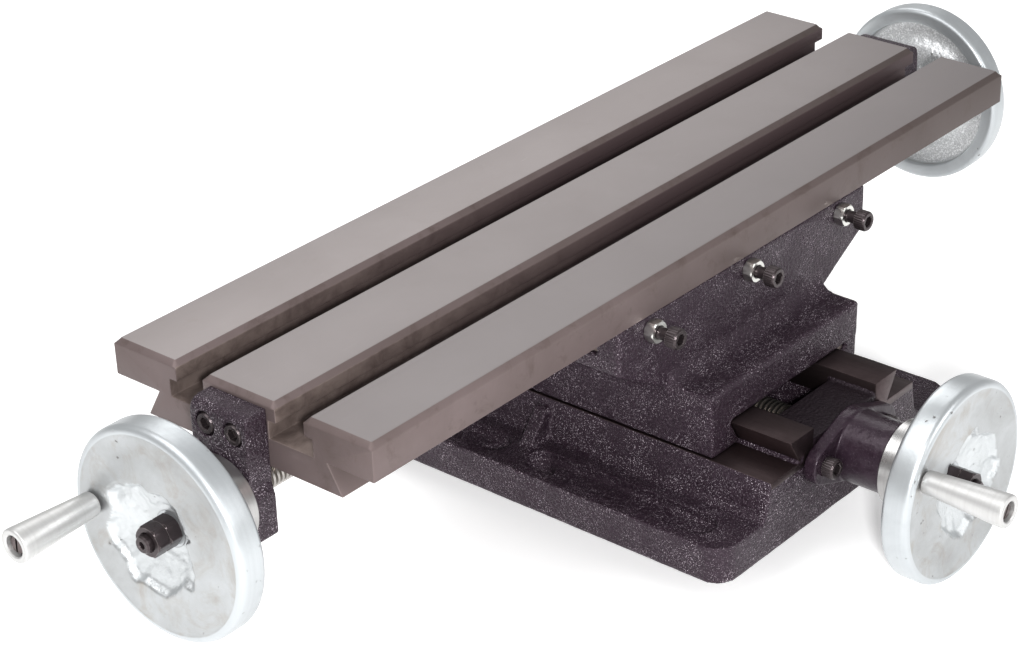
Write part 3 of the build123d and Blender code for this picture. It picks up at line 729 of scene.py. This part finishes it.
def wheel_face(radius, seed, turned):
    """Height of a wheel's cast front inside its rim, at a radius."""

    def height(angle):
        dish = 12.0 + 1.8 * (max(radius - 22.0, 0.0) / 23.0) ** 2
        edge = lobe_edge(angle, turned)
        depth = 0.42 * min(max((edge - radius) / 2.8, 0.0), 1.0)
        depth += 0.58 * min(max((edge - radius) / (edge - 11.0), 0.0), 1.0)
        place = Vector((radius * math.cos(angle), radius * math.sin(angle), seed)) * 0.12
        rough = noise.fractal(place, 0.9, 2.0, 3)
        floor = 5.9 + 0.8 * rough * min(max((edge - radius) / 5.0, 0.0), 1.0)
        boss = min(max((12.5 - radius) / 2.0, 0.0), 1.0)
        floor += boss * (5.8 - floor)
        return dish * (1 - depth) + floor * depth + 0.1 * rough * (1 - depth)

    return height


def wheel_back(radius, height, seed):
    """Height of the rough web behind a wheel, at a radius."""

    def level(angle):
        place = Vector((radius * math.cos(angle), radius * math.sin(angle), seed + 9)) * 0.2
        return height + 0.3 * noise.fractal(place, 0.8, 2.0, 3)

    return level


def arc(centre_r, centre_z, radius, start, end, steps):
    """Points on an arc of a turned profile, from one angle in degrees to another."""
    points = []
    for step in range(steps + 1):
        angle = math.radians(start + (end - start) * step / steps)
        points.append((centre_r + radius * math.cos(angle), centre_z + radius * math.sin(angle)))
    return points


def build_wheel(side, place, seed, turned):
    """A handwheel as one ring of profile points: bore, hub, back web, rim and dished face.

    Its zone is 0 where it is turned, 1 on the cast face, 2 in the hollow and 3 on the back web.
    """
    rings = [(WHEEL_BORE, NUT_SEAT), (WHEEL_BORE, -5.9), (13.3, -5.9), (14.0, -5.2), (14.0, 0.2), (14.6, 1.4)]
    zones = [0.0] * 5 + [3.0]
    web = ((16.0, 2.0), (19.0, 2.3), (23.0, 2.6), (26.0, 3.0))
    web += ((28.5, 4.2), (30.5, 5.8), (33.0, 6.9), (36.0, 7.2))
    rings += [(radius, wheel_back(radius, level, seed)) for radius, level in web]
    rings += arc(38.3, 4.6, 2.6, 85, 5, 5)
    zones += [3.0] * (len(rings) - len(zones))
    rings += [(41.4, 1.4)]
    rings += arc(42.2, 0.8, 0.8, 180, 270, 3)
    rings += arc(46.7, 2.3, 2.3, 270, 360, 6)
    rings += [(49.0, 5.0), (49.0, 8.4)]
    rings += arc(45.7, 10.7, 3.3, 0, 90, 9)
    zones += [0.0] * (len(rings) - len(zones))
    rings += [(45.3, 13.9)]
    radius = 45.0
    while radius > 9.0:
        rings.append((radius, wheel_face(radius, seed, turned)))
        radius -= 0.7
    zones += [1.0] * (len(rings) - len(zones))
    rings += [(8.6, NUT_SEAT + 0.05), (8.0, NUT_SEAT)]
    zones += [2.0, 0.0]
    count = 240
    obj = lathe(side + "_wheel_cast", rings, place, count, True, 50)
    back_to_own = place.inverted()
    zone = obj.data.attributes.new("zone", "FLOAT", "POINT")
    values = []
    for vert in obj.data.vertices:
        value = zones[vert.index // count]
        own = back_to_own @ vert.co
        edge = lobe_edge(math.atan2(own.y, own.x), turned)
        if value == 1.0 and math.hypot(own.x, own.y) < edge - 0.3:
            value = 2.0
        values.append(value)
    zone.data.foreach_set("value", values)
    return obj


def build_dial(side, place, gap):
    """The plain dial between a bearing face and a wheel's hub."""
    low = 0.3 - gap
    high = low + gap - HUB_BEHIND
    rings = [(WHEEL_BORE, low), (20.4, low), (21.0, low + 0.6), (21.0, high - 1.9)]
    rings += [(20.5, high - 1.5), (20.5, high - 0.8), (19.9, high - 0.1), (19.4, high), (WHEEL_BORE, high)]
    return lathe(side + "_dial_turned", rings, place, 160)


def build_wheel_nuts(side, place):
    """The pair of hex nuts that locks a wheel on its shaft."""
    bm = bmesh.new()
    for level in (5.8, 12.4):
        flat = hexagon(13.0, 7.35)
        rim = hexagon(13.0, 6.6)
        rings = [(4.1, level), (rim, level), (flat, level + 0.5), (flat, level + 6.0), (rim, level + 6.5)]
        rings += [(4.6, level + 6.5), (4.1, level + 6.1)]
        add_loft(bm, rings, place, 96, True)
    return shade(object_from(side + "_lock_nuts", bm), 25)


def build_grip(side, place):
    """A hollow tapered tube that turns on the handle's screw."""
    low = HANDLE_SEAT + 1.4
    rings = [(3.35, low), (4.9, low), (5.3, low + 0.4), (5.5, low + 1.2)]
    taper_steps = 8
    for step in range(1, taper_steps + 1):
        share = step / taper_steps
        rings.append((5.5 + 2.3 * share, low + 1.2 + 38.3 * share))
    rings += arc(6.9, low + 41.1, 0.9, 0, 90, 4)
    rings += [(5.4, low + 42.0), (4.9, low + 41.5), (4.9, low + 35.95), (3.35, low + 35.9)]
    return lathe(side + "_grip_turned", rings, place @ Matrix.Translation((HANDLE_CIRCLE, 0, 0)), 96)


def build_stud(side, place):
    """The handle's shouldered screw, with a slot cut across its head."""
    seat = HANDLE_SEAT
    head = seat + 38.9
    local = place @ Matrix.Translation((HANDLE_CIRCLE, 0, 0))
    rings = [(0, seat - 7), (2.7, seat - 7), (2.95, seat - 6.6), (2.95, seat + 0.6), (3.8, seat + 0.6)]
    rings += [(3.8, seat + 1.1), (3.15, seat + 1.1), (3.15, head), (4.1, head), (4.35, head + 0.4)]
    rings += [(4.35, head + 1.8), (3.7, head + 2.8), (1.6, head + 3.0), (0, head + 3.0)]
    stud = lathe(side + "_handle_screw", rings, local, 64, False)
    bm = bmesh.new()
    slot = Matrix.Translation((0, 0, head + 3.0)) @ Matrix.Diagonal((1.2, 12.0, 2.6, 1.0))
    bmesh.ops.create_cube(bm, size=1.0, matrix=local @ slot)
    cutter = object_from("slot_cutter", bm)
    cut = stud.modifiers.new("Slot", "BOOLEAN")
    cut.operation = "DIFFERENCE"
    cut.object = cutter
    cut.solver = "EXACT"
    settle(stud)
    bpy.data.objects.remove(cutter)
    return shade(stud, 28)


def add_cap_screw(bm, place, length):
    """A socket head cap screw, seated at the place's origin with its head outwards."""
    head = SCREW_HEAD
    top = SCREW_HEAD_HEIGHT
    shank = SCREW_SHANK - 0.05
    grip = knurl(head, 30, 0.22)
    hexed = hexagon(SCREW_SOCKET)
    rings = [(0, -length), (SCREW_SHANK - 0.5, -length), (shank, -length + 0.5), (shank, 0)]
    rings += [(head - 0.5, 0), (head - 0.1, 0.35), (grip, 0.5), (grip, top - 0.9)]
    rings += [(head - 0.25, top - 0.6), (head - 0.7, top), (hexagon(SCREW_SOCKET, slack=1.14), top)]
    rings += [(hexed, top - 0.35), (hexed, top * 0.45), (0, top * 0.35)]
    add_loft(bm, rings, place, 120)


def cap_screws(name, places, length):
    """Several cap screws of one length, as one piece."""
    bm = bmesh.new()
    for place in places:
        add_cap_screw(bm, place, length)
    return shade(object_from(name, bm), 28)


def lock_nuts(name, places):
    """Several hex lock nuts, as one piece."""
    bore = LOCK_NUT_BORE
    top = LOCK_NUT_HEIGHT
    flat = hexagon(LOCK_NUT_FLATS, LOCK_NUT_FLATS * 0.566)
    rim = hexagon(LOCK_NUT_FLATS, LOCK_NUT_FLATS * 0.505)
    rings = [(bore, 0.4), (bore + 0.4, 0.02), (rim, 0.02), (flat, 0.5), (flat, top - 0.5)]
    rings += [(rim, top), (bore + 0.4, top), (bore, top - 0.4)]
    bm = bmesh.new()
    for place in places:
        add_loft(bm, rings, place, 96, True)
    return shade(object_from(name, bm), 25)


def add_thread(bm, place, low, high, hand):
    """A trapezoidal screw thread along the place's z axis. hand is 1 or -1."""
    count = 48
    profile = ((0.0, SCREW_ROOT), (0.18, SCREW_ROOT), (0.36, SCREW_CREST), (0.82, SCREW_CREST))
    turns = int((high - low) / SCREW_PITCH) - 1
    columns = []
    for step in range(count):
        angle = hand * TURN * step / count
        column = []
        for turn in range(turns):
            for share, radius in profile:
                level = low + SCREW_PITCH * (turn + share + step / count)
                point = Vector((radius * math.cos(angle), radius * math.sin(angle), level))
                column.append(bm.verts.new(place @ point))
        columns.append(column)
    for step in range(count):
        here = columns[step]
        after = columns[(step + 1) % count]
        shift = 0 if step + 1 < count else len(profile)
        for index in range(len(here) - 1):
            beside = index + shift
            if beside + 1 < len(after):
                bm.faces.new((here[index], here[index + 1], after[beside + 1], after[beside]))


def shaft_tip(gap, sign, start):
    """Rings of a shaft outside its bearing face, up to the wheel's seat."""
    floor = gap + NUT_SEAT
    rings = [(5.95, floor - 0.3), (5.6, floor), (3.8, floor), (3.8, floor + 3), (0, floor + 3)]
    return [(radius, start + sign * level) for radius, level in rings]


def build_shaft_end(side, place):
    """The blackened, threaded end of a shaft, with its centre hole."""
    rings = [(0, 8.5), (3.85, 8.5), (3.95, 19.2), (4.0, 19.6), (4.0, 21.2), (3.3, 22.0)]
    rings += [(1.9, 22.0), (1.6, 21.6), (1.5, 19.6), (0, 19.2)]
    return lathe(side + "_shaft_end", rings, place, 64, False)


def build_long_screw():
    """The table's feed screw, with a journal and a shoulder at each end."""
    place = placed((0, 0, LONG_AXIS), (0, 1, 0), (1, 0, 0))
    journal = 12.9
    left = LONG_SCREW_LEFT + journal
    right = LONG_SCREW_RIGHT - journal
    rings = shaft_tip(LEFT_GAP, -1, LONG_SCREW_LEFT)[::-1]
    rings += [(5.95, left), (6.9, left + 0.1), (SCREW_CREST, left + 3.5), (5.5, left + 4.5)]
    rings += [(5.5, right - 4.5), (SCREW_CREST, right - 3.5), (6.9, right - 0.1), (5.95, right)]
    rings += shaft_tip(RIGHT_GAP, 1, LONG_SCREW_RIGHT)
    bm = bmesh.new()
    add_loft(bm, rings, place, 64)
    add_thread(bm, place, left + 2.0, right - 0.5, 1)
    return shade(object_from("long_feed_screw", bm), 30)


def build_cross_screw():
    """The cross slide's feed screw, with a journal and a shoulder at its front end."""
    place = placed((0, CROSS_SCREW_START, CROSS_AXIS), (1, 0, 0), (0, -1, 0))
    end = -247.0
    rings = [(0, end), (5.4, end), (5.5, end + 1), (5.5, -36.5), (SCREW_CREST, -35.5)]
    rings += [(SCREW_CREST, -31.4), (5.95, -31.2)]
    rings += shaft_tip(FRONT_GAP, 1, 0)
    bm = bmesh.new()
    add_loft(bm, rings, place, 64)
    add_thread(bm, place, end, -34.0, -1)
    return shade(object_from("cross_feed_screw", bm), 30)


def rail_pair():
    """The machined dovetail rails on the base, a skin over the rough casting."""
    place = placed((0, 0, 0), (1, 0, 0), (0, -1, 0))
    rails = []
    for sign in (-1, 1):
        outline = [
            (59.2, WAY),
            (36.4, WAY),
            (44.19, RAIL_TOP),
            (25.6, RAIL_TOP),
            (25.6, 36.5),
            (30.0, 34.0),
            (58.9, 34.0),
        ]
        rails.append(prism("rail", [(sign * x, z) for x, z in outline], -RAIL_END, RAIL_END, place, 0.5))
    return join("dovetail_rails", rails)


finish_piece(build_table(), "table_body", "table_iron", table_iron, "table")

ROUGH_SKIN = {"voxel": 0.9, "rounding": 3, "lump": 0.35, "inset": 0.22}
base = cast("base_body_cast", "base_casting", **ROUGH_SKIN)
finish_piece(base, "base", "wrinkle_black", base_black, "base_casting")
finish_piece(rail_pair(), "base", "machined_iron", rail_iron)
saddle = cast("saddle_body_cast", "saddle_casting", **ROUGH_SKIN)
finish_piece(saddle, "saddle", "wrinkle_black", wrinkle_black, "saddle_casting")

front = cast("front_bearing_cast", "front_bracket", voxel=0.5, rounding=14, lump=0.25, inset=0.0)
finish_piece(front, "base", "smooth_black", smooth_black, "front_bracket")
for side in ("left", "right"):
    bracket = cast(
        side + "_bearing_cast", side + "_bracket", voxel=0.5, rounding=4, lump=0.15, inset=0.03
    )
    finish_piece(bracket, "table_body", "wrinkle_black", bracket_black, side + "_bracket")

long_axis = ((1.0, 0.0, 0.0), (0.0, 0.0, LONG_AXIS))
cross_axis = ((0.0, 1.0, 0.0), (0.0, 0.0, CROSS_AXIS))
# Each wheel: its seat on the shaft, the way to its handle, the way it faces and the gap behind it
LEFT_HANDLE = math.radians(3)
RIGHT_HANDLE = math.radians(20)
FRONT_HANDLE = math.radians(152)
FRONT_HOLLOW_TURN = 140.0
wheels = {
    "left": (
        (LONG_SCREW_LEFT - LEFT_GAP, 0, LONG_AXIS),
        (0, math.cos(LEFT_HANDLE), math.sin(LEFT_HANDLE)),
        (-1, 0, 0),
        LEFT_GAP,
    ),
    "right": (
        (LONG_SCREW_RIGHT + RIGHT_GAP, 0, LONG_AXIS),
        (0, math.sin(RIGHT_HANDLE), -math.cos(RIGHT_HANDLE)),
        (1, 0, 0),
        RIGHT_GAP,
    ),
    "front": (
        (0, CROSS_SCREW_START - FRONT_GAP, CROSS_AXIS),
        (math.cos(FRONT_HANDLE), 0, math.sin(FRONT_HANDLE)),
        (0, -1, 0),
        FRONT_GAP,
    ),
}
screw_metals = {}
for index, (side, (origin, handle, out, gap)) in enumerate(wheels.items()):
    is_front = side == "front"
    body = "cross_feed" if is_front else "long_feed"
    rim, satin, shaft = turned_metals(side, *(cross_axis if is_front else long_axis))
    screw_metals[body] = shaft
    place = placed(origin, handle, out)
    wheel = build_wheel(side, place, index * 5.0, FRONT_HOLLOW_TURN if is_front else 0.0)
    finish_piece(wheel, body, "cast_aluminium", rim, side + "_handwheel")
    finish_piece(build_dial(side, place, gap), body, "satin_steel", satin, side + "_dial")
    finish_piece(build_wheel_nuts(side, place), body, "black_oxide", black_oxide, side + "_wheel_nuts")
    finish_piece(build_shaft_end(side, place), body, "black_oxide", black_oxide)
    finish_piece(build_stud(side, place), body, "zinc", bore_shade_screw, side + "_grip_stud")
    centre = Vector(origin) + Vector(handle) * HANDLE_CIRCLE
    axis = tuple(abs(float(a)) for a in out)
    grip_steel = grip_metal(side, axis, tuple(centre))
    finish_piece(build_grip(side, place), side + "_grip_turn", "turned_steel", grip_steel, side + "_grip")
finish_piece(build_long_screw(), "long_feed", "turned_steel", screw_metals["long_feed"], "long_screw")
finish_piece(build_cross_screw(), "cross_feed", "turned_steel", screw_metals["cross_feed"], "cross_screw")

# Fasteners
front_out = ((1, 0, 0), (0, -1, 0))
side_out = ((0, 1, 0), (1, 0, 0))


def table_gib_places(behind):
    """Places of the three table gib screws, this far out from the saddle's face."""
    y = TABLE_GIB_FACE - behind
    steps = (-TABLE_GIB_SPACING, 0, TABLE_GIB_SPACING)
    return [placed((x, y, TABLE_GIB_HEIGHT), *front_out) for x in steps]


def cross_gib_places(behind):
    """Places of the three cross gib screws, this far out from the saddle's side."""
    x = CROSS_GIB_FACE + behind
    steps = (-CROSS_GIB_SPACING, 0, CROSS_GIB_SPACING)
    return [placed((x, y, CROSS_GIB_HEIGHT), *side_out) for y in steps]


table_gib_set = cap_screws("table_gib_set", table_gib_places(STICK_OUT), 23.0)
finish_piece(table_gib_set, "saddle", "black_oxide", black_oxide, "table_gib_screws")
table_gib_locks = lock_nuts("table_gib_locks", table_gib_places(0))
finish_piece(table_gib_locks, "saddle", "zinc", zinc, "table_gib_nuts")
cross_gib_set = cap_screws("cross_gib_set", cross_gib_places(STICK_OUT), 20.0)
finish_piece(cross_gib_set, "saddle", "black_oxide", black_oxide, "cross_gib_screws")
cross_gib_locks = lock_nuts("cross_gib_locks", cross_gib_places(0))
finish_piece(cross_gib_locks, "saddle", "zinc", zinc, "cross_gib_nuts")
places = [placed((x, FLANGE_FACE, CROSS_AXIS), *front_out) for x in (-FLANGE_BOLT_OFFSET, FLANGE_BOLT_OFFSET)]
bolts = cap_screws("front_bearing_bolts", places, 20.0)
finish_piece(bolts, "base", "black_oxide", black_oxide, "front_bracket_screws")
left_face = TABLE_LEFT - BRACKET_THICKNESS
right_face = TABLE_RIGHT + BRACKET_THICKNESS
for side, x, out in (("left", left_face, -1), ("right", right_face, 1)):
    sideways = (-BRACKET_BOLT_OFFSET, BRACKET_BOLT_OFFSET)
    places = [placed((x, y, BRACKET_BOLT_HEIGHT), (0, out, 0), (out, 0, 0)) for y in sideways]
    bolts = cap_screws(side + "_bearing_bolts", places, 19.0)
    finish_piece(bolts, "table_body", "black_oxide", black_oxide, side + "_bracket_screws")

# CAD pieces shown as they are
kept = {
    "table_gib": gib_iron,
    "cross_gib": gib_iron,
    "long_nut": bronze,
    "cross_nut": bronze,
    "left_bush": bronze,
    "right_bush": bronze,
    "front_bush": bronze,
    "long_nut_screws": black_oxide,
    "cross_nut_screws": black_oxide,
    "left_wheel_key": gib_iron,
    "right_wheel_key": gib_iron,
    "front_wheel_key": gib_iron,
}
for name, material in kept.items():
    nodes[name].data.materials.clear()
    nodes[name].data.materials.append(material)


# ---------------------------------------------------------------- stage, light and camera

low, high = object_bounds()

floor_material, _, floor_shader, _ = new_material("pale_floor")
floor_shader.inputs["Base Color"].default_value = (0.95, 0.95, 0.95, 1.0)
floor_shader.inputs["Emission Color"].default_value = (1.0, 1.0, 1.0, 1.0)
floor_shader.inputs["Emission Strength"].default_value = 0.32
floor_shader.inputs["Roughness"].default_value = 0.8
bm = bmesh.new()
below_object = Matrix.Translation((0, 0, low.z - 0.0005))
bmesh.ops.create_grid(bm, x_segments=1, y_segments=1, size=6.0, matrix=below_object)
floor = object_from("floor", bm)
floor.data.materials.append(floor_material)

scene = bpy.context.scene
scene.view_settings.view_transform = "Standard"
world = bpy.data.worlds.new("studio")
world.use_nodes = True
world.node_tree.nodes["Background"].inputs["Color"].default_value = (1.0, 1.0, 1.0, 1.0)
world.node_tree.nodes["Background"].inputs["Strength"].default_value = 0.54
scene.world = world


def soft_light(name, position, size, power):
    """A square light aimed at the middle of the object."""
    data = bpy.data.lights.new(name, "AREA")
    data.size = size
    data.energy = power
    lamp = bpy.data.objects.new(name, data)
    scene.collection.objects.link(lamp)
    lamp.location = position
    aim = Vector((-0.05, -0.03, 0.08)) - Vector(position)
    lamp.rotation_euler = aim.to_track_quat("-Z", "Y").to_euler()


soft_light("key", (-0.75, 0.25, 1.5), 1.1, 12.5)
soft_light("fill", (0.3, -1.6, 0.9), 0.9, 8.5)
soft_light("back", (0.9, 0.9, 1.3), 0.9, 6.0)
soft_light("flash", (-0.85, -0.75, 0.6), 0.08, 12.0)

back = Vector((-0.6730, -0.5548, 0.4892)).normalized()
right = Vector((0, 0, 1)).cross(back).normalized()
up = back.cross(right)
roll = math.radians(-1.16)
right, up = math.cos(roll) * right + math.sin(roll) * up, math.cos(roll) * up - math.sin(roll) * right
camera_data = bpy.data.cameras.new("camera")
camera_data.lens = 90.38
camera_data.sensor_width = 36.0
camera_data.shift_x = -0.0616
camera_data.shift_y = 0.0589
camera_data.clip_end = 30.0
camera = bpy.data.objects.new("camera", camera_data)
scene.collection.objects.link(camera)
target = Vector((-169.33, -108.57, TABLE_TOP)) * MM
distance = 1.04946
turn = Matrix((right, up, back)).transposed().to_4x4()
camera.matrix_world = Matrix.Translation(target + back * distance) @ turn
scene.camera = camera
